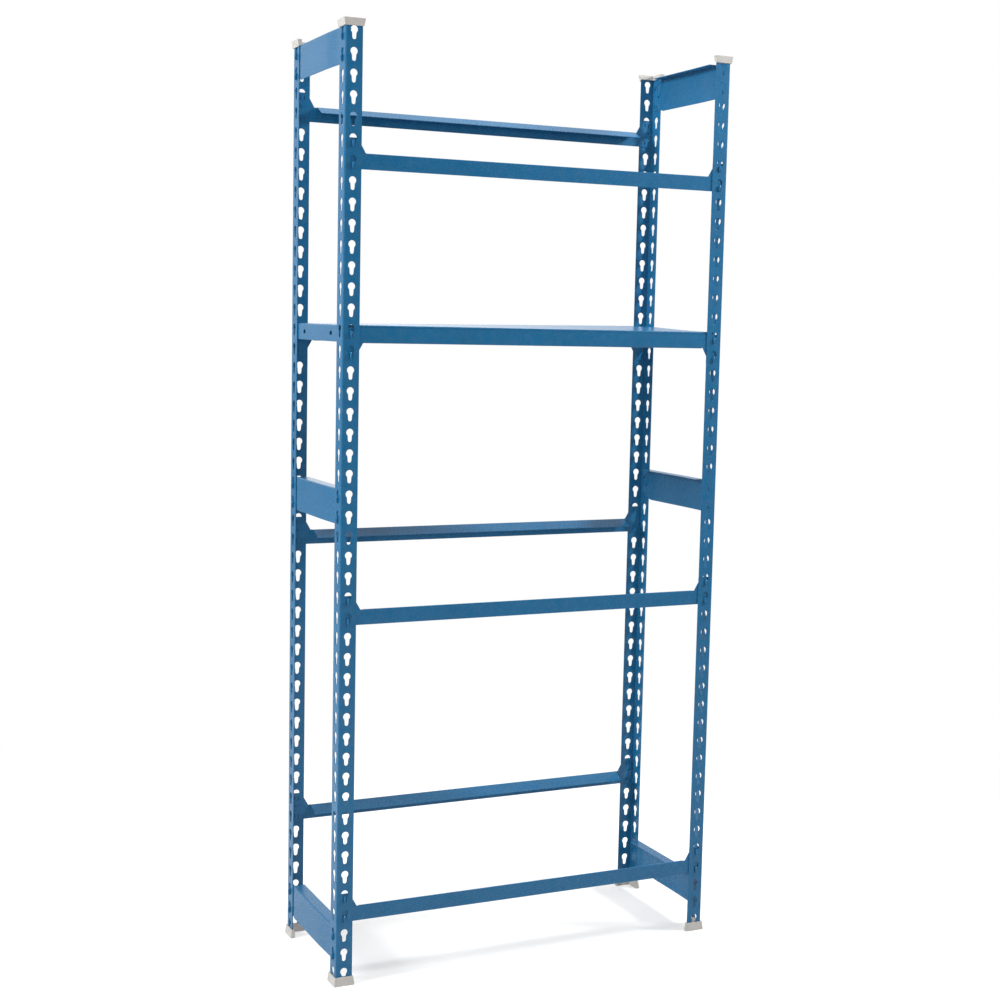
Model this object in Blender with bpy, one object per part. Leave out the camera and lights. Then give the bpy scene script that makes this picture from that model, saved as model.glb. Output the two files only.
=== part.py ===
"""A boltless storage bay: four keyhole angle posts, clipped ties, bars for round goods and a steel shelf.

Metres, +Z up. The origin is on the floor at the centre of the bay, +X runs along the bars to the right of
someone who faces the bay, and +Y runs from the front of the bay to its back.
"""

import math

import bmesh
import bpy
from mathutils import Matrix

# The bay, over the outer faces of its posts.
BAY_WIDTH = 0.905
BAY_DEPTH = 0.337
GAP = 0.0003  # left between any two neighbouring pieces

# Angle posts, with a row of keyholes down the middle of each flange.
POST_LENGTH = 2.0
POST_FLANGE = 0.0366
POST_STEEL = 0.0018
PITCH = 0.0425  # from one keyhole to the next
KEYHOLES = 47
TOP_HEAD_Z = 1.9856  # centre of the round head of the highest keyhole
HEAD_RADIUS = 0.0080
SLOT_HALF_WIDTH = 0.0047
SLOT_BOTTOM = 0.0197  # below the centre of the head
NECK_DROP = 0.0065  # from the centre of the head to where the slot begins
HEAD_TOP = 0.0074  # height of the flat at the top of the faceted head
HEAD_FLAT = 0.0034  # half of that flat's width

# Plastic foot under each post and cap on top of it, an L with a pocket for the post's end.
FOOT_HEIGHT = 0.0190
SOLE = 0.0040
CAP_BOTTOM_Z = TOP_HEAD_Z + 0.0070
CAP_TOP_Z = 2.0080
CAP_PLATE = 0.0030
SHOE_OVERHANG = 0.0022  # beyond the post, at the shoe's open end
SHOE_FLARE = 0.0025  # more of it at the closed end
SHOE_ARM = 0.0064  # from the post's outer face to the inside of the L

# Hooks pressed out of every connector: a neck in the slot and a button outside the flange.
HOOK_WIDTH = 0.0120
HOOK_TOP = 0.0049  # below the centre of the keyhole's head
HOOK_BOTTOM = 0.0201
HOOK_CHAMFER = 0.0036
HOOK_STEEL = 0.0025
NECK_WIDTH = 0.0080
NECK_TOP = 0.0064

# Connector plates: on the inner faces of the flanges, clear of the corner of the post.
SHEET = 0.0015
PLATE_FACE = POST_STEEL + GAP
PLATE_START = 0.0080  # from the outer face of the neighbouring flange
LUG_REACH = 0.0098  # how far a connector's slanted edge runs past the flange

# Bars for round goods. Heights are from the head of the upper keyhole that the piece hooks into.
BAR_TOP = -0.0298
BAR_BOTTOM = -0.0622
BAR_CHAMFER_TOP = -0.0115
BAR_FLANGE = 0.0298
BAR_FLANGE_DROP = 0.0145
BAR_FLANGE_START = 0.0161  # from the edge of the post's flange

# Shelf beams.
BEAM_TOP = 0.0017
BEAM_BOTTOM = -0.0298
BEAM_LUG_BOTTOM = -0.0638
BEAM_CHAMFER_BOTTOM = -0.0468
BEAM_LEDGE = 0.0200

# Side ties.
TIE_TOP = 0.0066
TIE_BOTTOM = -0.0642
TIE_FLANGE = 0.0255
TIE_PLATE_END = POST_FLANGE + 0.0010
TIE_STEP = 0.0100  # length of the slope from the plate out to the web

# Shelf panel: a tray, open below, with its corners cut away for the posts.
PANEL_STEEL = 0.0012
PANEL_TOP = 0.0070  # above the head of the keyhole that the shelf beams hook into
PANEL_FOLD = 0.0350
PANEL_END_X = BAY_WIDTH / 2 - POST_STEEL - 0.0008
PANEL_EDGE_Y = BAY_DEPTH / 2 - PLATE_FACE - SHEET - 0.0005
PANEL_NOTCH_X = 0.0385  # from the outer face of the post
PANEL_NOTCH_Y = 0.0335
PANEL_SLOT_HALF_LENGTH = 0.0077  # two slots in each side fold
PANEL_SLOT_HALF_HEIGHT = 0.0044
PANEL_SLOT_Y = 0.0870
SLOT_END_STEPS = 5

# The keyhole, counted from the top, that takes each piece's upper hook.
FRONT_BARS = {"top": 5, "middle": 27, "bottom": 42}
REAR_BARS = {"top": 2, "middle": 24, "bottom": 39}
SIDE_TIES = {"top": 0, "middle": 22, "bottom": 44}
SHELF_BEAMS = 14

QUARTER_TURN = math.radians(90)
SHARP_ANGLE = math.radians(30)
WELD = 0.000001

# The planes that outlines are drawn in.
PLAN = Matrix.Identity(4)
ELEVATION = Matrix.Rotation(QUARTER_TURN, 4, "X")  # an outline's height becomes Z
SECTION = Matrix(((0, 0, 1, 0), (1, 0, 0, 0), (0, 1, 0, 0), (0, 0, 0, 1)))  # it runs along X


def clear_scene():
    """Removes every object that the file holds."""
    for obj in list(bpy.data.objects):
        bpy.data.objects.remove(obj, do_unlink=True)


def painted(name, color, roughness, metallic):
    """A plain material."""
    material = bpy.data.materials.new(name)
    material.use_nodes = True
    shader = material.node_tree.nodes["Principled BSDF"]
    shader.inputs["Base Color"].default_value = (*color, 1)
    shader.inputs["Roughness"].default_value = roughness
    shader.inputs["Metallic"].default_value = metallic
    return material


def head_z(number):
    """Height of the head of a keyhole, counted from the top of the post."""
    return TOP_HEAD_Z - number * PITCH


def mesh_of(obj):
    """The evaluated shape of an object as a welded mesh in world space. The object is removed."""
    bpy.context.view_layer.update()
    graph = bpy.context.evaluated_depsgraph_get()
    mesh = bpy.data.meshes.new_from_object(obj.evaluated_get(graph))
    mesh.transform(obj.matrix_world)
    shape = bmesh.new()
    shape.from_mesh(mesh)
    bmesh.ops.remove_doubles(shape, verts=shape.verts, dist=WELD)
    shape.to_mesh(mesh)
    shape.free()
    bpy.data.objects.remove(obj, do_unlink=True)
    return mesh


def tool(name, data):
    """A helper object, which is removed once its shape has been used."""
    obj = bpy.data.objects.new(name, data)
    tools.objects.link(obj)
    return obj


def slab(loops, low, high, plane=PLAN):
    """A flat piece with holes: closed outlines, thick from low to high across their plane."""
    curve = bpy.data.curves.new("outline", "CURVE")
    curve.dimensions = "2D"
    curve.fill_mode = "BOTH"
    curve.extrude = (high - low) / 2
    for loop in loops:
        spline = curve.splines.new("POLY")
        spline.points.add(len(loop) - 1)
        for point, (across, up) in zip(spline.points, loop):
            point.co = (across, up, 0, 1)
        spline.use_cyclic_u = True
    shape = tool("outline", curve)
    normal = plane.to_3x3().col[2]
    if plane is ELEVATION:
        normal = -normal
    shape.matrix_world = Matrix.Translation(normal * (low + high) / 2) @ plane
    return mesh_of(shape)


def rectangle(left, right, bottom, top):
    """The outline of a rectangle."""
    return [(left, bottom), (right, bottom), (right, top), (left, top)]


def combined(base, others, operation):
    """One mesh: the base with the others joined to it or cut from it."""
    body = tool("body", base)
    helpers = [tool("helper", other) for other in others]
    for helper in helpers:
        modifier = body.modifiers.new("boolean", "BOOLEAN")
        modifier.operation = operation
        modifier.solver = "EXACT"
        modifier.object = helper
    mesh = mesh_of(body)
    for helper in helpers:
        bpy.data.objects.remove(helper, do_unlink=True)
    return mesh


def keyhole(across, head):
    """The outline of one keyhole, round head up and slot down."""
    half = [
        (HEAD_FLAT, HEAD_TOP),
        (HEAD_RADIUS, 0),
        (SLOT_HALF_WIDTH, -NECK_DROP),
        (SLOT_HALF_WIDTH, -SLOT_BOTTOM),
    ]
    right = [(across + x, head + z) for x, z in half]
    left = [(across - x, head + z) for x, z in reversed(half)]
    return right + left


def angle_outline(start, end, inside):
    """An L in plan: its outer faces at start, its arms' ends at end, its inner faces at inside."""
    return [(start, start), (end, start), (end, inside), (inside, inside), (inside, end), (start, end)]


def post_mesh():
    """An angle post with its corner at the origin and its flanges along +X and +Y."""
    bottom = SOLE + GAP
    angle = slab([angle_outline(0, POST_FLANGE, POST_STEEL)], bottom, bottom + POST_LENGTH)
    row = [keyhole(POST_FLANGE / 2, head_z(number)) for number in range(KEYHOLES)]
    beyond = POST_STEEL
    punch = slab(row, -beyond, POST_STEEL + beyond, ELEVATION)
    side_punch = punch.copy()
    side_punch.transform(Matrix.Rotation(QUARTER_TURN, 4, "Z"))
    side_punch.transform(Matrix.Translation((POST_STEEL, 0, 0)))
    return combined(angle, [punch, side_punch], "DIFFERENCE")


def shoe_mesh(open_z, closed_z, plate_z):
    """A foot or a cap: a flared L, wider at its closed end, with a pocket up to the plate."""
    inner_end = POST_FLANGE + SHOE_OVERHANG
    outline = angle_outline(-SHOE_OVERHANG, inner_end, SHOE_ARM)
    block = slab([outline], min(open_z, closed_z), max(open_z, closed_z))
    for vertex in block.vertices:
        if abs(vertex.co.z - closed_z) > abs(vertex.co.z - open_z):
            continue
        for axis in (0, 1):
            if vertex.co[axis] < 0:
                vertex.co[axis] -= SHOE_FLARE
            elif vertex.co[axis] > POST_FLANGE:
                vertex.co[axis] += SHOE_FLARE
    beyond = open_z + (open_z - closed_z)
    pocket_outline = angle_outline(-GAP, POST_FLANGE + GAP, POST_STEEL + GAP)
    pocket = slab([pocket_outline], min(beyond, plate_z), max(beyond, plate_z))
    return combined(block, [pocket], "DIFFERENCE")


def hook_meshes(across, head):
    """The neck and the button of one hook that hangs in the keyhole with this head."""
    half = HOOK_WIDTH / 2
    cut = half - HOOK_CHAMFER
    top = head - HOOK_TOP
    bottom = head - HOOK_BOTTOM
    button = [
        (across - cut, bottom),
        (across + cut, bottom),
        (across + half, bottom + HOOK_CHAMFER),
        (across + half, top - HOOK_CHAMFER),
        (across + cut, top),
        (across - cut, top),
        (across - half, top - HOOK_CHAMFER),
        (across - half, bottom + HOOK_CHAMFER),
    ]
    neck_bottom = head - SLOT_BOTTOM + GAP
    neck = rectangle(across - NECK_WIDTH / 2, across + NECK_WIDTH / 2, neck_bottom, head - NECK_TOP)
    middle_of_button = -GAP - HOOK_STEEL / 2
    middle_of_plate = PLATE_FACE + SHEET / 2
    return [
        slab([button], -GAP - HOOK_STEEL, -GAP, ELEVATION),
        slab([neck], middle_of_button, middle_of_plate, ELEVATION),
    ]


def with_hooks(body, length):
    """The piece with two hooks at each end. Its outer plane is Y = 0 and its middle is X = 0."""
    shapes = []
    for side in (-1, 1):
        across = side * (length / 2 - POST_FLANGE / 2)
        for head in (0, -PITCH):
            shapes += hook_meshes(across, head)
    return combined(body, shapes, "UNION")


def mirrored_loop(half):
    """A closed outline from its right half, top to bottom."""
    return half + [(-x, z) for x, z in reversed(half)]


def bar_mesh():
    """A bar for round goods: an upright web with a flange that slopes down into the bay."""
    edge = BAY_WIDTH / 2 - POST_FLANGE
    plate_end = BAY_WIDTH / 2 - PLATE_START
    half = [
        (edge - LUG_REACH, BAR_TOP),
        (edge, BAR_CHAMFER_TOP),
        (edge, 0),
        (plate_end, 0),
        (plate_end, BAR_BOTTOM),
    ]
    web = slab([mirrored_loop(half)], PLATE_FACE, PLATE_FACE + SHEET, ELEVATION)
    slope = math.atan2(BAR_FLANGE_DROP, BAR_FLANGE)
    start = PLATE_FACE + SHEET / 2
    start_z = BAR_TOP - math.tan(slope) * SHEET / 2
    tip = (PLATE_FACE + BAR_FLANGE, BAR_TOP - BAR_FLANGE_DROP)
    section = [
        (start, start_z),
        (start, start_z - SHEET / math.cos(slope)),
        (tip[0] - SHEET * math.sin(slope), tip[1] - SHEET * math.cos(slope)),
        tip,
    ]
    reach = edge - BAR_FLANGE_START
    flange = slab([section], -reach, reach, SECTION)
    return with_hooks(combined(web, [flange], "UNION"), BAY_WIDTH)


def beam_mesh():
    """A shelf beam: an upright web with a ledge along its bottom that carries the panel."""
    edge = BAY_WIDTH / 2 - POST_FLANGE
    plate_end = BAY_WIDTH / 2 - PLATE_START
    half = [
        (plate_end, BEAM_TOP),
        (plate_end, BEAM_LUG_BOTTOM),
        (edge, BEAM_LUG_BOTTOM),
        (edge, BEAM_CHAMFER_BOTTOM),
        (edge - LUG_REACH, BEAM_BOTTOM),
    ]
    web = slab([mirrored_loop(half)], PLATE_FACE, PLATE_FACE + SHEET, ELEVATION)
    reach = edge - LUG_REACH - SHEET
    ledge_outline = rectangle(-reach, reach, PLATE_FACE + SHEET / 2, PLATE_FACE + BEAM_LEDGE)
    ledge = slab([ledge_outline], BEAM_BOTTOM, BEAM_BOTTOM + SHEET)
    return with_hooks(combined(web, [ledge], "UNION"), BAY_WIDTH)


def tie_mesh():
    """A side tie: a web level with the outer faces of the posts, its ends stepped in behind them."""
    plate_end = BAY_DEPTH / 2 - PLATE_START
    step_end = BAY_DEPTH / 2 - TIE_PLATE_END
    web_end = step_end - TIE_STEP
    outer = [(web_end, 0), (step_end, PLATE_FACE), (plate_end, PLATE_FACE)]
    inner = [(plate_end, PLATE_FACE + SHEET), (step_end, PLATE_FACE + SHEET), (web_end, SHEET)]
    web = slab([mirrored_loop(outer + inner)], TIE_BOTTOM, TIE_TOP)
    flange_outline = rectangle(-web_end, web_end, SHEET / 2, TIE_FLANGE)
    flange = slab([flange_outline], TIE_TOP - SHEET, TIE_TOP - GAP)
    return with_hooks(combined(web, [flange], "UNION"), BAY_DEPTH)


def panel_mesh():
    """The shelf panel: a flat top with cut corners and its four edges folded down."""
    tray = slab([rectangle(-PANEL_END_X, PANEL_END_X, -PANEL_EDGE_Y, PANEL_EDGE_Y)], -PANEL_FOLD, 0)
    inner_x = PANEL_END_X - PANEL_STEEL
    inner_y = PANEL_EDGE_Y - PANEL_STEEL
    below = -2 * PANEL_FOLD
    hollow = slab([rectangle(-inner_x, inner_x, -inner_y, inner_y)], below, -PANEL_STEEL)
    notch_x = BAY_WIDTH / 2 - PANEL_NOTCH_X
    notch_y = BAY_DEPTH / 2 - PANEL_NOTCH_Y
    corners = []
    for left, right in ((-BAY_WIDTH, -notch_x), (notch_x, BAY_WIDTH)):
        for bottom, top in ((-BAY_DEPTH, -notch_y), (notch_y, BAY_DEPTH)):
            corners.append(rectangle(left, right, bottom, top))
    cutters = [hollow, slab(corners, below, PANEL_FOLD)]
    end_center = PANEL_SLOT_HALF_LENGTH - PANEL_SLOT_HALF_HEIGHT
    slot = []
    for side in (1, -1):
        for step in range(SLOT_END_STEPS + 1):
            turn = math.pi * step / SLOT_END_STEPS
            across = side * (end_center + PANEL_SLOT_HALF_HEIGHT * math.sin(turn))
            slot.append((across, -side * PANEL_SLOT_HALF_HEIGHT * math.cos(turn)))
    for y in (-PANEL_SLOT_Y, PANEL_SLOT_Y):
        hole = [(y + across, up - PANEL_FOLD / 2) for across, up in slot]
        cutters.append(slab([hole], -BAY_WIDTH, BAY_WIDTH, SECTION))
    return combined(tray, cutters, "DIFFERENCE")


def place(name, mesh, material, location, turn=0):
    """Adds one piece of the bay, turned by this many quarter turns about Z."""
    obj = bpy.data.objects.new(name, mesh)
    parts.objects.link(obj)
    obj.parent = frame
    obj.location = location
    obj.rotation_euler = (0, 0, QUARTER_TURN * turn)
    if not mesh.materials:
        mesh.materials.append(material)
        mesh.shade_smooth()
        mesh.set_sharp_from_angle(angle=SHARP_ANGLE)


clear_scene()
parts = bpy.data.collections.new("storage_bay")
bpy.context.scene.collection.children.link(parts)
tools = bpy.data.collections.new("shaping_tools")
tools.hide_render = True
bpy.context.scene.collection.children.link(tools)
frame = bpy.data.objects.new("bay_origin", None)
parts.objects.link(frame)

post_paint = painted("post_paint", (0.035, 0.150, 0.300), 0.42, 0.0)
bar_paint = painted("bar_paint", (0.033, 0.145, 0.290), 0.42, 0.0)
shelf_paint = painted("shelf_paint", (0.040, 0.165, 0.310), 0.38, 0.0)
shoe_plastic = painted("shoe_plastic", (0.560, 0.540, 0.500), 0.55, 0.0)

LEFT, RIGHT = -BAY_WIDTH / 2, BAY_WIDTH / 2
FRONT, REAR = -BAY_DEPTH / 2, BAY_DEPTH / 2
CORNERS = {
    "front_left": ((LEFT, FRONT, 0), 0),
    "front_right": ((RIGHT, FRONT, 0), 1),
    "rear_right": ((RIGHT, REAR, 0), 2),
    "rear_left": ((LEFT, REAR, 0), 3),
}

post = post_mesh()
foot = shoe_mesh(FOOT_HEIGHT, 0, SOLE)
cap = shoe_mesh(CAP_BOTTOM_Z, CAP_TOP_Z, CAP_TOP_Z - CAP_PLATE)
for corner, (corner_point, quarter_turns) in CORNERS.items():
    place("post_" + corner, post, post_paint, corner_point, quarter_turns)
    place("foot_" + corner, foot, shoe_plastic, corner_point, quarter_turns)
    place("top_cap_" + corner, cap, shoe_plastic, corner_point, quarter_turns)

bar = bar_mesh()
for level, number in FRONT_BARS.items():
    place("front_bar_" + level, bar, bar_paint, (0, FRONT, head_z(number)))
for level, number in REAR_BARS.items():
    place("rear_bar_" + level, bar, bar_paint, (0, REAR, head_z(number)), 2)

tie = tie_mesh()
for level, number in SIDE_TIES.items():
    place("side_tie_left_" + level, tie, bar_paint, (LEFT, 0, head_z(number)), 3)
    place("side_tie_right_" + level, tie, bar_paint, (RIGHT, 0, head_z(number)), 1)

beam = beam_mesh()
place("shelf_beam_front", beam, shelf_paint, (0, FRONT, head_z(SHELF_BEAMS)))
place("shelf_beam_rear", beam, shelf_paint, (0, REAR, head_z(SHELF_BEAMS)), 2)
place("shelf_panel", panel_mesh(), shelf_paint, (0, 0, head_z(SHELF_BEAMS) + PANEL_TOP))
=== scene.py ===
"""Looks of the boltless storage bay: folded sheet with rolled bends, pressed hooks, paint and light."""

import math

import bmesh
import bpy
from mathutils import Matrix, Vector


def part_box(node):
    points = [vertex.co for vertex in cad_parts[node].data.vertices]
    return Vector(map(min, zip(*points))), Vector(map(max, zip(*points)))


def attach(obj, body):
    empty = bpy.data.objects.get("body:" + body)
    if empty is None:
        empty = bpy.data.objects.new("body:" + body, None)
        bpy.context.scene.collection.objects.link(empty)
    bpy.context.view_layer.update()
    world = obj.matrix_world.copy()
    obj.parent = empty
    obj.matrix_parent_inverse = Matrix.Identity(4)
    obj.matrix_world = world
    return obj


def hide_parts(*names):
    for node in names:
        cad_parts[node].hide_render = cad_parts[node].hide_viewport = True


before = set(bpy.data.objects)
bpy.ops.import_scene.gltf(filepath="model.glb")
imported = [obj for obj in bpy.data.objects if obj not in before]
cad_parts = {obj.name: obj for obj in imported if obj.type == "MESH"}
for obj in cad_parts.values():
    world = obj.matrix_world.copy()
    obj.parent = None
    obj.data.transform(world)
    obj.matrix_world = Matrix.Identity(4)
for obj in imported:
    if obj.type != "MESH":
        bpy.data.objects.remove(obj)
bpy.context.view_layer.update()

# Sizes of the bay in metres, read from the frame.
post_low, post_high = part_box("post_front_left")
far_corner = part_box("post_rear_right")[1]
LEFT, RIGHT = post_low.x, far_corner.x
FRONT, REAR = post_low.y, far_corner.y
FLANGE = post_high.x - post_low.x
WIDTH = RIGHT - LEFT
DEPTH = REAR - FRONT

AXIS_X = Vector((1, 0, 0))
AXIS_Y = Vector((0, 1, 0))
SQUARE = math.radians(90)
SHARP_ANGLE = math.radians(50)  # folds sharper than this are edges

# Sheet metal.
GAP = 0.0003  # between pieces that lie against each other
POST_STEEL = 0.0018
SHEET = 0.0015
PANEL_STEEL = 0.0012
BEND = 0.0026  # outer radius of a fold
BEND_STEPS = 5
EDGE = 0.00025  # rounding of a painted edge
CORNER_STEPS = 4
WELD = 0.00001  # points of neighbouring cells closer than this are one
PLATE_FACE = POST_STEEL + GAP  # an end plate's outer face, in from the post's
PLATE_START = 0.0080  # of an end plate, in from the bay's outer corner

# Keyholes.
PITCH = 0.0425
KEYHOLES = 47
HEAD_BELOW_TOP = 0.0187  # from the top of a post to the centre of its first keyhole's head
CELL_ABOVE_HEAD = 0.0175  # from the centre of a head up to where its cell of the post starts
HEAD_RADIUS = 0.0078
HEAD_STEPS = 16
SLOT_HALF = 0.0048  # at the neck
SLOT_END_HALF = 0.0042
SLOT_END = 0.0197
SLOT_STEPS = 8
NECK_FILLET = 0.0022
NECK_STEPS = 2

# Pressed hooks, below the centre of a keyhole's head.
HOOK_TOP = 0.0050
HOOK_BOTTOM = 0.0205
HOOK_HALF = 0.0031
HOOK_PROUD = 0.0056
HOOK_SEGMENTS, HOOK_RINGS = 20, 14
HOOK_WIDTH_MIDDLE, HOOK_WIDTH_GAIN = 0.75, 0.35  # its half width halfway up, and how it grows to the top
HOOK_DEPTH_MIDDLE, HOOK_DEPTH_GAIN = 0.85, 0.15
HOOK_BLUNTNESS = 0.8  # of its ends; 1 is round
HOOK_BASE_HALF = 0.0068
HOOK_BASE_FACE, HOOK_BASE_BACK = 0.00185, 0.00205  # in from the post's face
HOOK_BASE_TOP = 0.0044
HOOK_BASE_END = 0.0190
HOOK_NECK_HALF = 0.7 * HOOK_HALF
HOOK_NECK_TOP = 0.0070
HOOK_NECK_BACK = PLATE_FACE + SHEET / 3
SLIT_X = 0.0050
SLIT_HALF = 0.0015
SLIT_TOP = 0.0066
SLIT_BOTTOM = 0.0158
SLIT_STEPS = 4
BAR_PIN_HOLE_X = 0.0040  # outwards from the middle of the keyholes
TIE_PIN_HOLE_X = -0.0110
PIN_HOLE_RADIUS = 0.0022
PIN_HOLE_DROP = 0.0300
PIN_HOLE_SIDES = 10

# Bars, beams and ties: heights are below the upper keyhole's head.
LUG_REACH = 0.0098  # how far a connector runs on past the flange's edge
LUG_INSET = 0.0008  # of a connector's upright edge behind the flange
CORNER = 0.0020  # rounding of a plate's corner
NOTCH = 0.0016  # relief beside a beam's ledge
BAR_TOP = 0.0298
BAR_BOTTOM = 0.0622
BAR_CHAMFER_TOP = 0.0115
BAR_SLOPE = math.radians(26)
BAR_FLANGE = 0.0330
BAR_FLANGE_START = 0.0161  # in from the edge of the post's flange
BEAM_TOP = -0.0017
BEAM_BOTTOM = 0.0298
BEAM_LUG_BOTTOM = 0.0638
BEAM_CHAMFER_BOTTOM = 0.0468
BEAM_LEDGE = 0.0180
TIE_TOP = -0.0066
TIE_HIGH = 0.0092  # top of the visible web above the upper keyhole's head
TIE_BOTTOM = 0.0648
TIE_FLANGE = 0.0235
TIE_FLANGE_SETBACK = 0.0060  # of its ends from the start of the end plates
TIE_SHOULDER = 0.0030  # how much higher the end plates' lower edge is than the web's
TIE_STEP_START = 0.0010  # past the edge of the post's flange
TIE_STEP = 0.0120  # length of the step at the rear end
TIE_SLOPE = 0.0900  # length of the slope at the front end
TIE_CREASES = 6  # parts of a step or slope
TIE_CORNER = 0.0060

# Shelf panel.
PANEL_FOLD = 0.0350
PANEL_NOTCH_X = 0.0385
PANEL_NOTCH_Y = 0.0335
PANEL_HOLE_Y = 0.0870
PANEL_SLOT_HALF_LENGTH = 0.0077
PANEL_SLOT_HALF_HEIGHT = 0.0044
PANEL_SLOT_STEPS = 8
PANEL_LIFT_LEFT = 0.0015  # how far its rear corners stand up
PANEL_LIFT_RIGHT = 0.0115
PANEL_LIFT_CURVE = 1.5
PANEL_PARTS_X, PANEL_PARTS_Y = 4, 3  # creases of each half, for the lift

# Plastic feet and caps.
SHOE_OVERHANG = 0.0022
SHOE_INSIDE = 0.0054
SHOE_EDGE = 0.0007
SOLE = 0.0040
CAP_PLATE = 0.0030
CAP_RIM = 0.0040  # how much higher its inner rim ends


# ---------------------------------------------------------------- outlines

def arc(center, radius, start, end, steps):
    """Points on an arc, angles in degrees, both ends included."""
    points = []
    for step in range(steps + 1):
        angle = math.radians(start + (end - start) * step / steps)
        points.append((center[0] + radius * math.cos(angle), center[1] + radius * math.sin(angle)))
    return points


def circle(center, radius, sides):
    """A round hole."""
    return arc(center, radius, 0, 360, sides)[:-1]


def keyhole(center, head):
    """A keyhole: a round head, fillets at the neck and a round-ended slot below."""
    fillet_x = SLOT_HALF + NECK_FILLET
    reach = HEAD_RADIUS + NECK_FILLET
    fillet_y = -math.sqrt(reach ** 2 - fillet_x ** 2)
    meet = math.degrees(math.atan2(fillet_y, fillet_x))
    points = arc((0, 0), HEAD_RADIUS, meet, 180 - meet, HEAD_STEPS)
    points += arc((-fillet_x, fillet_y), NECK_FILLET, -meet, 0, NECK_STEPS)[1:]
    points += arc((0, SLOT_END_HALF - SLOT_END), SLOT_END_HALF, 180, 360, SLOT_STEPS)
    points += arc((fillet_x, fillet_y), NECK_FILLET, 180, 180 + meet, NECK_STEPS)[:-1]
    return [(center + x, head + z) for x, z in points]


def slit(center, top, bottom, half, steps):
    """A slit with round ends."""
    points = arc((center, top - half), half, 0, 180, steps)
    return points + arc((center, bottom + half), half, 180, 360, steps)


def rounded(corners):
    """A closed outline from (x, z, radius) corners."""
    points = []
    count = len(corners)
    for index, (x, z, radius) in enumerate(corners):
        here = Vector((x, z))
        if not radius:
            points.append((x, z))
            continue
        before = (Vector(corners[index - 1][:2]) - here).normalized()
        after = (Vector(corners[(index + 1) % count][:2]) - here).normalized()
        half = before.angle(after) / 2
        reach = radius / math.tan(half)
        center = here + (before + after).normalized() * (radius / math.sin(half))
        start = here + before * reach - center
        end = here + after * reach - center
        turn = start.angle_signed(end)
        for step in range(CORNER_STEPS + 1):
            spoke = start.copy()
            spoke.rotate(Matrix.Rotation(-turn * step / CORNER_STEPS, 2))
            points.append(tuple(center + spoke))
    return points


def mirrored(half):
    """A closed list of corners from its right half, top to bottom."""
    return half + [(-x, z, r) for x, z, r in reversed(half)]


# ---------------------------------------------------------------- sheet metal

def flat_sheet(outline, holes):
    """A flat sheet with holes in the plane of its pattern, as triangles."""
    sheet = bmesh.new()
    edges = []
    for loop in [outline] + holes:
        verts = [sheet.verts.new((x, z, 0)) for x, z in loop]
        edges += [sheet.edges.new((verts[i - 1], verts[i])) for i in range(len(verts))]
    bmesh.ops.triangle_fill(sheet, use_beauty=True, edges=edges)
    return sheet


def crease(sheet, direction, places):
    """Cuts lines across the pattern where it will bend."""
    for place in places:
        geometry = sheet.verts[:] + sheet.edges[:] + sheet.faces[:]
        bmesh.ops.bisect_plane(sheet, geom=geometry, plane_co=direction * place, plane_no=direction)


def bend_places(start, turn):
    """Where a bend is creased: along the outer face, from start, in the direction of turn's sign."""
    return [start + turn * BEND * step / BEND_STEPS for step in range(BEND_STEPS + 1)]


def even_places(half, parts):
    """Evenly spaced creases across a sheet, each half of it in so many parts."""
    return [half * step / parts for step in range(1 - parts, parts)]


def bent(distance, turn):
    """Along and across a bend for a distance past its start, on the outer face."""
    angle = min(max(distance / BEND, 0), turn)
    rest = max(distance, 0) - angle * BEND
    along = BEND * math.sin(angle) + rest * math.cos(angle) + min(distance, 0)
    across = BEND * (1 - math.cos(angle)) + rest * math.sin(angle)
    return along, across


def folded(sheet, place, steel, outward):
    """Folds a pattern with place(x, z), thickens it inwards and softens its edges. Gives a mesh."""
    for vert in sheet.verts:
        vert.co = place(vert.co.x, vert.co.y)
    sheet.normal_update()
    lean = sum((face.normal * face.calc_area() for face in sheet.faces), Vector())
    if lean.dot(Vector(outward)) < 0:
        bmesh.ops.reverse_faces(sheet, faces=sheet.faces[:])
    return softened(sheet, steel, EDGE)


def softened(shape, steel, edge):
    """A mesh with soft edges, from an open sheet that is thickened by steel, or from a closed shape."""
    mesh = bpy.data.meshes.new("sheet")
    shape.to_mesh(mesh)
    shape.free()
    obj = bpy.data.objects.new("sheet", mesh)
    bpy.context.scene.collection.objects.link(obj)
    if steel:
        solid = obj.modifiers.new("thickness", "SOLIDIFY")
        solid.thickness = steel
        solid.offset = -1
        solid.use_even_offset = True
    bevel = obj.modifiers.new("edges", "BEVEL")
    bevel.width = edge
    bevel.segments = 2
    bevel.limit_method = "ANGLE"
    bevel.angle_limit = SHARP_ANGLE
    return baked(obj)


def baked(obj):
    """The evaluated mesh of an object, which is removed."""
    bpy.context.view_layer.update()
    graph = bpy.context.evaluated_depsgraph_get()
    mesh = bpy.data.meshes.new_from_object(obj.evaluated_get(graph))
    bpy.data.objects.remove(obj, do_unlink=True)
    return mesh


def joined(meshes):
    """One mesh that holds all of these."""
    whole = bmesh.new()
    for mesh in meshes:
        whole.from_mesh(mesh)
    mesh = bpy.data.meshes.new("joined")
    whole.to_mesh(mesh)
    whole.free()
    return mesh


# ---------------------------------------------------------------- posts

def post_cell(half_width, holes_at):
    """The flat mesh of one pitch of a post, its two keyholes this far from the middle."""
    holes = [keyhole(side * holes_at, -CELL_ABOVE_HEAD) for side in (-1, 1)]
    cell = [(-half_width, -PITCH), (half_width, -PITCH), (half_width, 0), (-half_width, 0)]
    pattern = flat_sheet(cell, holes)
    mesh = bpy.data.meshes.new("cell")
    pattern.to_mesh(mesh)
    pattern.free()
    return mesh


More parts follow.
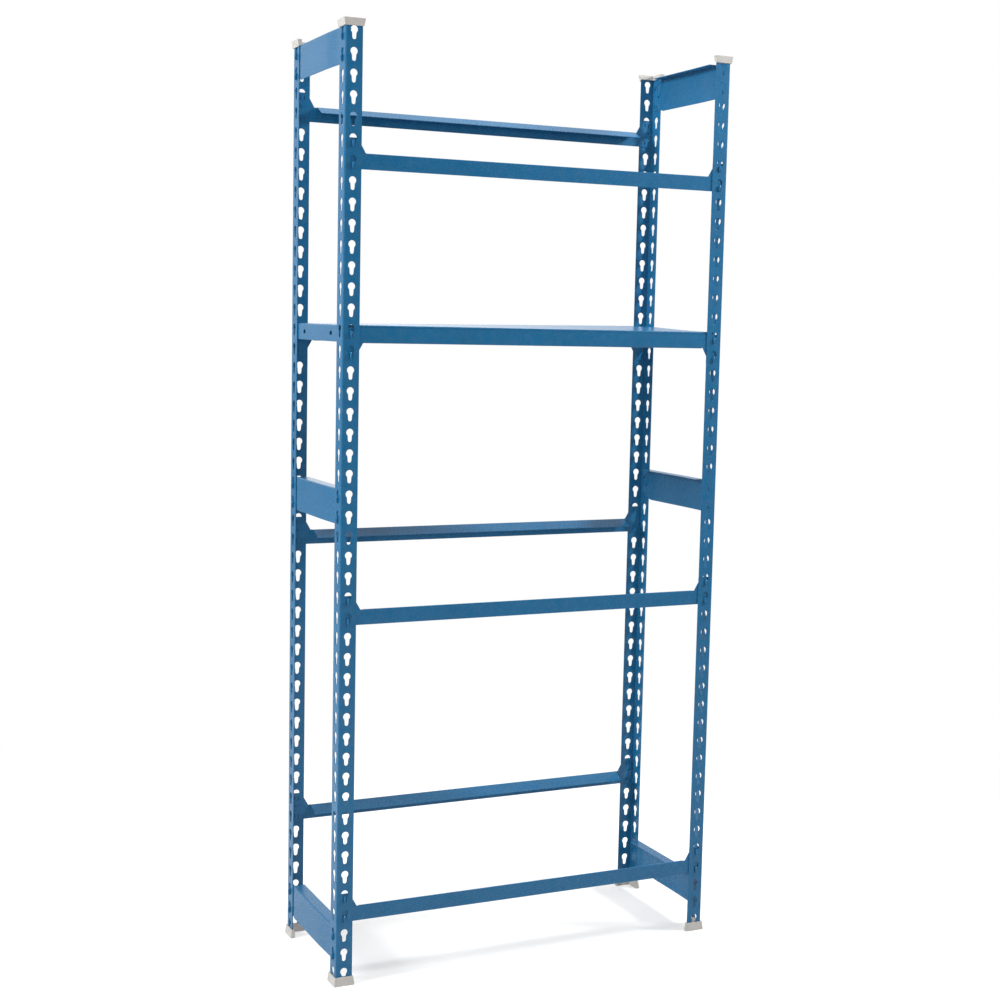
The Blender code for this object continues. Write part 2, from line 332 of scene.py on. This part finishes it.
def post_mesh():
    """An angle post, its corner at the origin, made of one cell for each keyhole."""
    half_bend = BEND * SQUARE / 2
    half_width = half_bend + FLANGE - BEND
    cell = post_cell(half_width, half_bend + FLANGE / 2 - BEND)
    length = post_high.z - post_low.z
    top_strip = HEAD_BELOW_TOP - CELL_ABOVE_HEAD
    whole = bmesh.new()
    for number in range(KEYHOLES):
        before = len(whole.verts)
        whole.from_mesh(cell)
        whole.verts.ensure_lookup_table()
        for vert in whole.verts[before:]:
            vert.co.y += length - top_strip - number * PITCH
    foot_strip = length - top_strip - KEYHOLES * PITCH
    for low, high in ((0, foot_strip), (length - top_strip, length)):
        corners = [(-half_width, low), (half_width, low), (half_width, high), (-half_width, high)]
        whole.faces.new([whole.verts.new((x, z, 0)) for x, z in corners])
    bmesh.ops.remove_doubles(whole, verts=whole.verts[:], dist=WELD)
    bmesh.ops.recalc_face_normals(whole, faces=whole.faces[:])
    crease(whole, AXIS_X, bend_places(-half_bend, SQUARE))

    def place(x, z):
        along, inward = bent(x + half_bend, SQUARE)
        return Vector((inward, BEND - along, z + post_low.z))

    return folded(whole, place, POST_STEEL, outward=(-1, -1, 0))


# ---------------------------------------------------------------- hooks

def row_centers(length):
    """The sign and the middle of both keyhole rows of a piece, its length over its posts' outer faces."""
    return [(side, side * (length / 2 - FLANGE / 2)) for side in (-1, 1)]


def hook_block(shape, center, half, face, back, top, bottom):
    """Adds a block to a hook."""
    for vert in bmesh.ops.create_cube(shape, size=1)["verts"]:
        x, y, z = vert.co
        vert.co = (center + 2 * x * half, back if y > 0 else face, top if z > 0 else bottom)


def hook_mesh(center, head):
    """A pressed hook: a round-backed tongue that tapers to its tip, on a neck, and the thin sheet behind it
    that closes the keyhole's slot."""
    shape = bmesh.new()
    bmesh.ops.create_uvsphere(shape, u_segments=HOOK_SEGMENTS, v_segments=HOOK_RINGS, radius=1)
    half_height = (HOOK_BOTTOM - HOOK_TOP) / 2
    middle = head - (HOOK_TOP + HOOK_BOTTOM) / 2
    for vert in shape.verts:
        x, y, z = vert.co
        boxy = math.hypot(x, y) / max((x ** 4 + y ** 4) ** 0.25, 0.001)  # turns rings into rounded squares
        x, y = x * boxy, y * boxy
        half = HOOK_HALF * (HOOK_WIDTH_MIDDLE + HOOK_WIDTH_GAIN * z)
        blunt = math.copysign(abs(z) ** HOOK_BLUNTNESS, z)
        proud = HOOK_PROUD * (HOOK_DEPTH_MIDDLE + HOOK_DEPTH_GAIN * z)
        vert.co = (center + x * half, y * (proud if y < 0 else POST_STEEL), middle + blunt * half_height)
    bottom = head - HOOK_BASE_END
    hook_block(shape, center, HOOK_BASE_HALF, HOOK_BASE_FACE, HOOK_BASE_BACK, head - HOOK_BASE_TOP, bottom)
    hook_block(shape, center, HOOK_NECK_HALF, 0, HOOK_NECK_BACK, head - HOOK_NECK_TOP, bottom)
    mesh = bpy.data.meshes.new("hook")
    shape.to_mesh(mesh)
    shape.free()
    return mesh


def hooks(length):
    """The four hooks of a piece of this length over its posts' outer faces."""
    return [hook_mesh(center, head) for _, center in row_centers(length) for head in (0, -PITCH)]


def plate_holes(length, pin_hole_x):
    """What the pressing of the hooks leaves in both end plates: slits, and a small hole between them."""
    holes = []
    for side, center in row_centers(length):
        for head in (0, -PITCH):
            for x in (center - SLIT_X, center + SLIT_X):
                holes.append(slit(x, head - SLIT_TOP, head - SLIT_BOTTOM, SLIT_HALF, SLIT_STEPS))
        pin_hole = (center + side * pin_hole_x, -PIN_HOLE_DROP)
        holes.append(circle(pin_hole, PIN_HOLE_RADIUS, PIN_HOLE_SIDES))
    return holes


# ---------------------------------------------------------------- bars, beams and ties

def bar_mesh():
    """A bar for round goods, its outer plane at Y = 0 and its flange sloping down into the bay."""
    edge = WIDTH / 2 - FLANGE
    plate_end = WIDTH / 2 - PLATE_START
    reach = edge - BAR_FLANGE_START
    turn = SQUARE + BAR_SLOPE
    fold_start = -BAR_TOP - BEND
    tip = fold_start + turn * BEND + BAR_FLANGE
    half = [
        (reach, tip, CORNER),
        (reach, -BAR_TOP, 0),
        (edge - LUG_REACH, -BAR_TOP, 0),
        (edge + LUG_INSET, -BAR_CHAMFER_TOP, 0),
        (edge + LUG_INSET, 0, CORNER),
        (plate_end, 0, CORNER),
        (plate_end, -BAR_BOTTOM, CORNER),
    ]
    pattern = flat_sheet(rounded(mirrored(half)), plate_holes(WIDTH, BAR_PIN_HOLE_X))
    crease(pattern, AXIS_Y, bend_places(fold_start, turn))

    def place(x, z):
        if abs(x) > reach + GAP:
            return Vector((x, PLATE_FACE, z))
        along, inward = bent(z - fold_start, turn)
        return Vector((x, PLATE_FACE + inward, fold_start + along))

    return joined([folded(pattern, place, SHEET, outward=(0, -1, 0.5))] + hooks(WIDTH))


def beam_mesh():
    """A shelf beam, its outer plane at Y = 0, with a ledge folded in along its bottom."""
    edge = WIDTH / 2 - FLANGE
    plate_end = WIDTH / 2 - PLATE_START
    reach = edge - LUG_REACH - NOTCH
    fold_start = -BEAM_BOTTOM + BEND
    tip = fold_start - SQUARE * BEND - BEAM_LEDGE
    half = [
        (plate_end, -BEAM_TOP, CORNER),
        (plate_end, -BEAM_LUG_BOTTOM, CORNER),
        (edge + LUG_INSET, -BEAM_LUG_BOTTOM, CORNER),
        (edge + LUG_INSET, -BEAM_CHAMFER_BOTTOM, 0),
        (edge - LUG_REACH, -BEAM_BOTTOM + NOTCH, 0),
        (reach, -BEAM_BOTTOM + NOTCH, 0),
        (reach, tip, CORNER),
    ]
    pattern = flat_sheet(rounded(mirrored(half)), plate_holes(WIDTH, BAR_PIN_HOLE_X))
    crease(pattern, AXIS_Y, bend_places(fold_start, -SQUARE))

    def place(x, z):
        if abs(x) > reach + GAP:
            return Vector((x, PLATE_FACE, z))
        along, inward = bent(fold_start - z, SQUARE)
        return Vector((x, PLATE_FACE + inward, fold_start - along))

    return joined([folded(pattern, place, SHEET, outward=(0, -1, -0.1))] + hooks(WIDTH))


def tie_mesh(front):
    """A side tie, its web level with Y = 0 and a flange along its top. Its rear end steps in behind the post;
    its front end, on the side of front's sign, slopes in gently."""
    plate_end = DEPTH / 2 - PLATE_START
    step_end = DEPTH / 2 - FLANGE - TIE_STEP_START
    rear_web_end = step_end - TIE_STEP
    fold_start = TIE_HIGH - BEND
    tip = fold_start + SQUARE * BEND + TIE_FLANGE
    reach = step_end - TIE_FLANGE_SETBACK
    corners = [
        (reach, tip, CORNER),
        (reach, TIE_HIGH, 0),
        (plate_end, TIE_HIGH, CORNER),
        (plate_end, -TIE_BOTTOM, CORNER),
        (-rear_web_end, -TIE_BOTTOM, TIE_CORNER),
        (-step_end, TIE_SHOULDER - TIE_BOTTOM, TIE_SHOULDER / 2),
        (-plate_end, TIE_SHOULDER - TIE_BOTTOM, CORNER),
        (-plate_end, TIE_HIGH, CORNER),
        (-reach, TIE_HIGH, 0),
        (-reach, tip, CORNER),
    ]
    if front < 0:
        corners = [(-x, z, radius) for x, z, radius in reversed(corners)]
    pattern = flat_sheet(rounded(corners), plate_holes(DEPTH, TIE_PIN_HOLE_X))
    crease(pattern, AXIS_Y, bend_places(fold_start, SQUARE))
    for side, length in ((front, TIE_SLOPE), (-front, TIE_STEP)):
        parts = [length * step / TIE_CREASES for step in range(TIE_CREASES + 1)]
        crease(pattern, AXIS_X, [side * (step_end - part) for part in parts])

    def place(x, z):
        length = TIE_SLOPE if x * front > 0 else TIE_STEP
        share = min(max((abs(x) - step_end + length) / length, 0), 1)
        sunk = PLATE_FACE * share * share * (3 - 2 * share)
        if abs(x) > reach + GAP:
            return Vector((x, sunk, z))
        along, inward = bent(z - fold_start, SQUARE)
        return Vector((x, sunk + inward, fold_start + along))

    return joined([folded(pattern, place, SHEET, outward=(0, -1, 0.2))] + hooks(DEPTH))


# ---------------------------------------------------------------- shelf panel

def panel_mesh(low, high):
    """The shelf panel at its place: a tray with cut corners, its rear corners standing up a little."""
    half_x = (high.x - low.x) / 2
    half_y = (high.y - low.y) / 2
    notch_x = WIDTH / 2 - PANEL_NOTCH_X
    notch_y = DEPTH / 2 - PANEL_NOTCH_Y
    saved = BEND * (2 - SQUARE)  # how much shorter a bend is than its two legs
    long_x = half_x + PANEL_FOLD - saved
    long_y = half_y + PANEL_FOLD - saved
    quarter = [
        (notch_x, long_y, CORNER),
        (notch_x, notch_y, 0),
        (long_x, notch_y, CORNER),
    ]
    right = quarter + [(x, -y, r) for x, y, r in reversed(quarter)]
    drill = half_x + PANEL_FOLD / 2 - saved
    holes = []
    for side in (-1, 1):
        for y in (-PANEL_HOLE_Y, PANEL_HOLE_Y):
            near, far = y - PANEL_SLOT_HALF_LENGTH, y + PANEL_SLOT_HALF_LENGTH
            holes.append(slit(side * drill, far, near, PANEL_SLOT_HALF_HEIGHT, PANEL_SLOT_STEPS))
    pattern = flat_sheet(rounded(mirrored(right)), holes)
    for direction, half_size in ((AXIS_X, half_x), (AXIS_Y, half_y)):
        places = bend_places(half_size - BEND, SQUARE)
        crease(pattern, direction, places + [-place for place in places])
    crease(pattern, AXIS_X, even_places(half_x, PANEL_PARTS_X))
    crease(pattern, AXIS_Y, even_places(half_y, PANEL_PARTS_Y))

    def place(x, y):
        along_x, down_x = bent(abs(x) - half_x + BEND, SQUARE)
        along_y, down_y = bent(abs(y) - half_y + BEND, SQUARE)
        out_x = math.copysign(half_x - BEND + along_x, x)
        out_y = math.copysign(half_y - BEND + along_y, y)
        right_share = (out_x + half_x) / (2 * half_x)
        back_share = max(0, (out_y + half_y) / (2 * half_y)) ** PANEL_LIFT_CURVE
        lift = PANEL_LIFT_LEFT + (PANEL_LIFT_RIGHT - PANEL_LIFT_LEFT) * right_share
        return Vector((out_x, out_y, high.z - down_x - down_y + lift * back_share))

    return folded(pattern, place, PANEL_STEEL, outward=(0, 0, 1))


# ---------------------------------------------------------------- feet and caps

def ell(z, out, end, inner, rim_z=None):
    """Six corners of an angle's section at a height, its three inner ones at rim_z where that is given."""
    corners = [(-out, -out), (end, -out), (end, inner), (inner, inner), (inner, end), (-out, end)]
    rim = rim_z or z
    heights = [z, z, rim, rim, rim, z]
    return [(x, y, height) for (x, y), height in zip(corners, heights)]


def shoe_mesh(outer, open_z, inner_z, closed_z, plate_z):
    """A moulded foot or cap, the post's corner at the origin, flared out to X = outer at its closed end; its
    inner rim is at inner_z, and the plate that the post meets is at plate_z."""
    flared = post_low.x - outer
    pocket = POST_STEEL + GAP
    loops = [
        ell(plate_z, GAP, FLANGE + GAP, pocket),
        ell(open_z, GAP, FLANGE + GAP, pocket, inner_z),
        ell(open_z, SHOE_OVERHANG, FLANGE + SHOE_OVERHANG, SHOE_INSIDE, inner_z),
        ell(closed_z, flared, FLANGE + flared, SHOE_INSIDE),
    ]
    shape = bmesh.new()
    rings = [[shape.verts.new(point) for point in loop] for loop in loops]
    shape.faces.new(rings[0])
    shape.faces.new(rings[-1])
    for inner, outer_ring in zip(rings, rings[1:]):
        for index in range(len(inner)):
            after = (index + 1) % len(inner)
            shape.faces.new((inner[index], inner[after], outer_ring[after], outer_ring[index]))
    bmesh.ops.recalc_face_normals(shape, faces=shape.faces[:])
    return softened(shape, steel=0, edge=SHOE_EDGE)


def foot_mesh():
    """A plastic foot with a thick sole."""
    low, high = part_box("foot_front_left")
    return shoe_mesh(low.x, high.z, high.z, low.z, low.z + SOLE)


def cap_mesh():
    """A plastic cap, its rim higher on the inside of the post than outside."""
    low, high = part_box("top_cap_front_left")
    return shoe_mesh(low.x, low.z, low.z + CAP_RIM, high.z, high.z - CAP_PLATE)


# ---------------------------------------------------------------- materials

NOISE_LOW, NOISE_HIGH = 0.3, 0.7  # what most of a noise's values lie between


def node(tree, kind, **values):
    """A shader node with its inputs set by name."""
    made = tree.nodes.new(kind)
    for name, value in values.items():
        made.inputs[name.replace("_", " ")].default_value = value
    return made


def noise(tree, place, scale, detail):
    """Noise over the piece, in its own metres."""
    made = node(tree, "ShaderNodeTexNoise", Scale=scale, Detail=detail)
    tree.links.new(place, made.inputs["Vector"])
    return made.outputs["Fac"]


def spread(tree, value, low, high):
    """Takes noise to a range."""
    made = node(tree, "ShaderNodeMapRange", From_Min=NOISE_LOW, From_Max=NOISE_HIGH, To_Min=low, To_Max=high)
    tree.links.new(value, made.inputs["Value"])
    return made.outputs["Result"]


def bump(tree, height, strength, distance):
    """Relief from a height."""
    made = node(tree, "ShaderNodeBump", Strength=strength, Distance=distance)
    tree.links.new(height, made.inputs["Height"])
    return made


def blank(name):
    """A new material, its node tree, its shader and the place on the piece."""
    material = bpy.data.materials.new(name)
    material.use_nodes = True
    tree = material.node_tree
    place = tree.nodes.new("ShaderNodeTexCoord").outputs["Object"]
    return material, tree, tree.nodes["Principled BSDF"], place


def painted(name, color, roughness):
    """Powder coat: satin, with orange peel, faint mottling and fine grit in its gloss."""
    material, tree, shader, place = blank(name)
    shader.inputs["Specular IOR Level"].default_value = 0.30
    tone = node(tree, "ShaderNodeHueSaturation", Color=(*color, 1))
    mottling = noise(tree, place, scale=9, detail=4)
    tint = noise(tree, place, scale=60, detail=3)
    tree.links.new(spread(tree, mottling, low=0.94, high=1.06), tone.inputs["Value"])
    tree.links.new(spread(tree, tint, low=0.97, high=1.03), tone.inputs["Saturation"])
    tree.links.new(tone.outputs["Color"], shader.inputs["Base Color"])
    haze = noise(tree, place, scale=350, detail=3)
    gloss = spread(tree, haze, low=roughness - 0.02, high=roughness + 0.02)
    tree.links.new(gloss, shader.inputs["Roughness"])
    peel = bump(tree, noise(tree, place, scale=420, detail=2), strength=0.006, distance=0.0004)
    grit = bump(tree, noise(tree, place, scale=2600, detail=1), strength=0.005, distance=0.0001)
    tree.links.new(peel.outputs["Normal"], grit.inputs["Normal"])
    tree.links.new(grit.outputs["Normal"], shader.inputs["Normal"])
    return material


def moulded(name, color):
    """Moulded polyethylene: soft sheen, slight haze and a fine spark-eroded grain."""
    material, tree, shader, place = blank(name)
    shader.inputs["Subsurface Weight"].default_value = 0.12
    shader.inputs["Subsurface Radius"].default_value = (0.004, 0.003, 0.002)
    shader.inputs["Subsurface Scale"].default_value = 0.5
    tone = node(tree, "ShaderNodeHueSaturation", Color=(*color, 1))
    mottling = noise(tree, place, scale=70, detail=4)
    tree.links.new(spread(tree, mottling, low=0.95, high=1.04), tone.inputs["Value"])
    tree.links.new(tone.outputs["Color"], shader.inputs["Base Color"])
    haze = noise(tree, place, scale=500, detail=2)
    tree.links.new(spread(tree, haze, low=0.45, high=0.6), shader.inputs["Roughness"])
    grain = bump(tree, noise(tree, place, scale=1800, detail=2), strength=0.2, distance=0.0002)
    tree.links.new(grain.outputs["Normal"], shader.inputs["Normal"])
    return material


MATERIALS = {
    "post_paint": painted("post_paint", (0.0135, 0.116, 0.246), roughness=0.28),
    "bar_paint": painted("bar_paint", (0.0135, 0.114, 0.244), roughness=0.27),
    "shelf_paint": painted("shelf_paint", (0.0140, 0.117, 0.248), roughness=0.26),
    "shoe_plastic": moulded("shoe_plastic", (0.455, 0.438, 0.415)),
}


# ---------------------------------------------------------------- assembly

# Corners of the bay: name, place and quarter turns from the front left one.
CORNERS = (
    ("front_left", (LEFT, FRONT, 0), 0),
    ("front_right", (RIGHT, FRONT, 0), 1),
    ("rear_right", (RIGHT, REAR, 0), 2),
    ("rear_left", (LEFT, REAR, 0), 3),
)
LONG_SIDES = (("front", FRONT, 0), ("rear", REAR, 2))
SHORT_SIDES = (("left", LEFT, 3), ("right", RIGHT, 1))
LEVELS = ("top", "middle", "bottom")


def add(name, mesh, slot, cad_node, body="root", location=(0, 0, 0), quarter=0):
    """One visible piece, standing for a node of the frame, turned by quarter turns about Z."""
    if not mesh.materials:
        mesh.materials.append(MATERIALS[slot])
        mesh.shade_smooth()
        mesh.set_sharp_from_angle(angle=SHARP_ANGLE)
    piece = bpy.data.objects.new(name, mesh)
    bpy.context.scene.collection.objects.link(piece)
    piece.location = location
    piece.rotation_euler = (0, 0, SQUARE * quarter)
    weighted = piece.modifiers.new("flat_faces", "WEIGHTED_NORMAL")
    weighted.keep_sharp = True
    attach(piece, body)
    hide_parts(cad_node)


def top_of(cad_node):
    """The height of a node's top."""
    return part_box(cad_node)[1].z


def add_uprights():
    """The four posts, each with its foot and cap."""
    post = post_mesh()
    foot = foot_mesh()
    cap = cap_mesh()
    for corner, place, quarter in CORNERS:
        add("angle_post_" + corner, post, "post_paint", "post_" + corner, "root", place, quarter)
        add("plastic_foot_" + corner, foot, "shoe_plastic", "foot_" + corner, "root", place, quarter)
        add("plastic_cap_" + corner, cap, "shoe_plastic", "top_cap_" + corner, "root", place, quarter)


def add_bars_and_ties():
    """The bars for round goods, each on its own body, and the side ties, level by level."""
    bar = bar_mesh()
    ties = {"left": tie_mesh(1), "right": tie_mesh(-1)}
    for level in LEVELS:
        for side, y, quarter in LONG_SIDES:
            cad_node = side + "_bar_" + level
            place = (0, y, top_of(cad_node))
            add("folded_bar_" + side + "_" + level, bar, "bar_paint", cad_node, cad_node, place, quarter)
        for side, x, quarter in SHORT_SIDES:
            cad_node = "side_tie_" + side + "_" + level
            place = (x, 0, top_of(cad_node) + TIE_TOP)
            add("folded_tie_" + side + "_" + level, ties[side], "bar_paint", cad_node, "root", place, quarter)


def add_shelf():
    """The two shelf beams and the panel that lies on them."""
    beam = beam_mesh()
    for side, y, quarter in LONG_SIDES:
        cad_node = "shelf_beam_" + side
        place = (0, y, top_of(cad_node) + BEAM_TOP)
        add("folded_beam_" + side, beam, "shelf_paint", cad_node, "root", place, quarter)
    panel = panel_mesh(*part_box("shelf_panel"))
    add("folded_shelf_panel", panel, "shelf_paint", "shelf_panel", "shelf_panel")


# ---------------------------------------------------------------- studio

FLOOR_RADIUS = 40
FLOOR_SIDES = 96
FLOOR_BOUNCE = 0.62
FLOOR_SEEN = 0.95
FLOOR_GLOW = 0.45  # how much of the floor's near part is plain white
FADE_START, FADE_END = 0.6, 2.2  # from there on, and in full

# What lights the object from all around: the dim room, then its bright parts. Each has the direction it
# lies in, how closely a ray must point there for the first and for the full light, and its strength.
ROOM = 0.07
SWEEP = ((0, 1, 0), 0.85, 0.94, 1.05)
CEILING = ((0, 0.45, 0.89), 0.45, 0.95, 1.20)  # brightest a little behind the bay
SCREEN = ((0.66, -0.75, 0.05), 0.95, 0.99, 0.90)
HORIZON = ((0.46, 0.88, 0.10), 0.955, 0.985, 1.00)  # what the top of the shelf mirrors towards the camera

# Soft lights: name, place, width, height, watts. They face the middle of the bay.
LEFT_SOFTBOX = ("left_softbox", (-5.6, -0.35, 3.5), 1.6, 2.0, 385)
KEY_SOFTBOX = ("key_softbox", (2.2, -1.05, 2.7), 0.35, 0.6, 78)
FRONT_SOFTBOX = ("front_softbox", (-2.4, -5.2, 2.2), 1.8, 1.8, 80)
TOP_SOFTBOX = ("top_softbox", (0, -0.2, 4.2), 1.6, 0.9, 60)
LIT_POINT = (0, 0, 1.0)

# The viewpoint, with angles in radians, sensor and focal length in millimetres.
EYE = (-1.5681, -3.3307, 1.4027)
YAW, PITCH_DOWN, ROLL = 0.4369, 0.1064, -0.0212
SENSOR = 36
FOCAL_LENGTH = 58.80
CLIP_START = 0.05


def floor():
    """A plain pale floor: it takes soft shadows near the bay and runs out into white."""
    bpy.ops.mesh.primitive_circle_add(vertices=FLOOR_SIDES, radius=FLOOR_RADIUS, fill_type="NGON")
    plane = bpy.context.object
    plane.name = "studio_floor"
    material, tree, shader, place = blank("pale_floor")
    shader.inputs["Specular IOR Level"].default_value = 0.0
    shader.inputs["Roughness"].default_value = 0.9
    seen = tree.nodes.new("ShaderNodeLightPath").outputs["Is Camera Ray"]
    tone = node(tree, "ShaderNodeMapRange", To_Min=FLOOR_BOUNCE, To_Max=FLOOR_SEEN)
    tree.links.new(seen, tone.inputs["Value"])
    tree.links.new(tone.outputs["Result"], shader.inputs["Base Color"])
    reach = tree.nodes.new("ShaderNodeVectorMath")
    reach.operation = "LENGTH"
    tree.links.new(place, reach.inputs[0])
    fade = node(tree, "ShaderNodeMapRange", From_Min=FADE_START, From_Max=FADE_END, To_Min=FLOOR_GLOW)
    fade.interpolation_type = "SMOOTHSTEP"
    tree.links.new(reach.outputs["Value"], fade.inputs["Value"])
    only_seen = tree.nodes.new("ShaderNodeMath")
    only_seen.operation = "MULTIPLY"
    tree.links.new(fade.outputs["Result"], only_seen.inputs[0])
    tree.links.new(seen, only_seen.inputs[1])
    white = tree.nodes.new("ShaderNodeEmission")
    mix = tree.nodes.new("ShaderNodeMixShader")
    tree.links.new(only_seen.outputs["Value"], mix.inputs["Fac"])
    tree.links.new(shader.outputs["BSDF"], mix.inputs[1])
    tree.links.new(white.outputs["Emission"], mix.inputs[2])
    tree.links.new(mix.outputs["Shader"], tree.nodes["Material Output"].inputs["Surface"])
    plane.data.materials.append(material)


def softbox(name, location, width, height, watts):
    """A large soft light that faces the middle of the bay."""
    lamp = bpy.data.lights.new(name, "AREA")
    lamp.shape = "RECTANGLE"
    lamp.size = width
    lamp.size_y = height
    lamp.energy = watts
    obj = bpy.data.objects.new(name, lamp)
    bpy.context.scene.collection.objects.link(obj)
    obj.location = location
    obj.rotation_euler = (Vector(LIT_POINT) - Vector(location)).to_track_quat("-Z", "Y").to_euler()
    return obj


def glow(tree, direction, side, start, end, strength, below):
    """Adds light to the surroundings where the direction is close to side, in full past end."""
    towards = tree.nodes.new("ShaderNodeVectorMath")
    towards.operation = "DOT_PRODUCT"
    towards.inputs[1].default_value = side
    tree.links.new(direction, towards.inputs[0])
    part = node(tree, "ShaderNodeMapRange", From_Min=start, From_Max=end, To_Max=strength)
    part.interpolation_type = "SMOOTHSTEP"
    tree.links.new(towards.outputs["Value"], part.inputs["Value"])
    total = tree.nodes.new("ShaderNodeMath")
    tree.links.new(part.outputs["Result"], total.inputs[0])
    tree.links.new(below, total.inputs[1])
    return total.outputs["Value"]


def surroundings():
    """White for the camera; for the object a dim room with a white sweep behind and a bright ceiling."""
    world = bpy.data.worlds.new("studio")
    bpy.context.scene.world = world
    world.use_nodes = True
    tree = world.node_tree
    tree.nodes.clear()
    output = tree.nodes.new("ShaderNodeOutputWorld")
    direction = tree.nodes.new("ShaderNodeTexCoord").outputs["Generated"]
    dim = tree.nodes.new("ShaderNodeValue")
    dim.outputs["Value"].default_value = ROOM
    light = dim.outputs["Value"]
    for side, start, end, strength in (SWEEP, CEILING, SCREEN, HORIZON):
        light = glow(tree, direction, side, start, end, strength, light)
    room = tree.nodes.new("ShaderNodeBackground")
    tree.links.new(light, room.inputs["Strength"])
    backdrop = node(tree, "ShaderNodeBackground", Color=(1, 1, 1, 1))
    mix = tree.nodes.new("ShaderNodeMixShader")
    camera_ray = tree.nodes.new("ShaderNodeLightPath").outputs["Is Camera Ray"]
    tree.links.new(camera_ray, mix.inputs["Fac"])
    tree.links.new(room.outputs["Background"], mix.inputs[1])
    tree.links.new(backdrop.outputs["Background"], mix.inputs[2])
    tree.links.new(mix.outputs["Shader"], output.inputs["Surface"])


def lights():
    """Four soft lights around the bay."""
    left = softbox(*LEFT_SOFTBOX)
    left.visible_glossy = False  # its glare would wash out the shelf as seen from the right
    for box in (KEY_SOFTBOX, FRONT_SOFTBOX, TOP_SOFTBOX):
        softbox(*box)


def camera():
    """The viewpoint: in front and to the left, at the height of the shelf."""
    flat = math.cos(PITCH_DOWN)
    ahead = Vector((math.sin(YAW) * flat, math.cos(YAW) * flat, -math.sin(PITCH_DOWN)))
    right = ahead.cross(Vector((0, 0, 1))).normalized()
    down = ahead.cross(right)
    tilted_right = right * math.cos(ROLL) + down * math.sin(ROLL)
    tilted_down = down * math.cos(ROLL) - right * math.sin(ROLL)
    lens = bpy.data.cameras.new("camera")
    lens.sensor_width = SENSOR
    lens.lens = FOCAL_LENGTH
    lens.clip_start = CLIP_START
    obj = bpy.data.objects.new("camera", lens)
    bpy.context.scene.collection.objects.link(obj)
    turned = Matrix((tilted_right, -tilted_down, -ahead)).transposed().to_4x4()
    obj.matrix_world = Matrix.Translation(EYE) @ turned
    bpy.context.scene.camera = obj


add_uprights()
add_bars_and_ties()
add_shelf()
floor()
surroundings()
lights()
camera()
bpy.context.scene.view_settings.view_transform = "Standard"
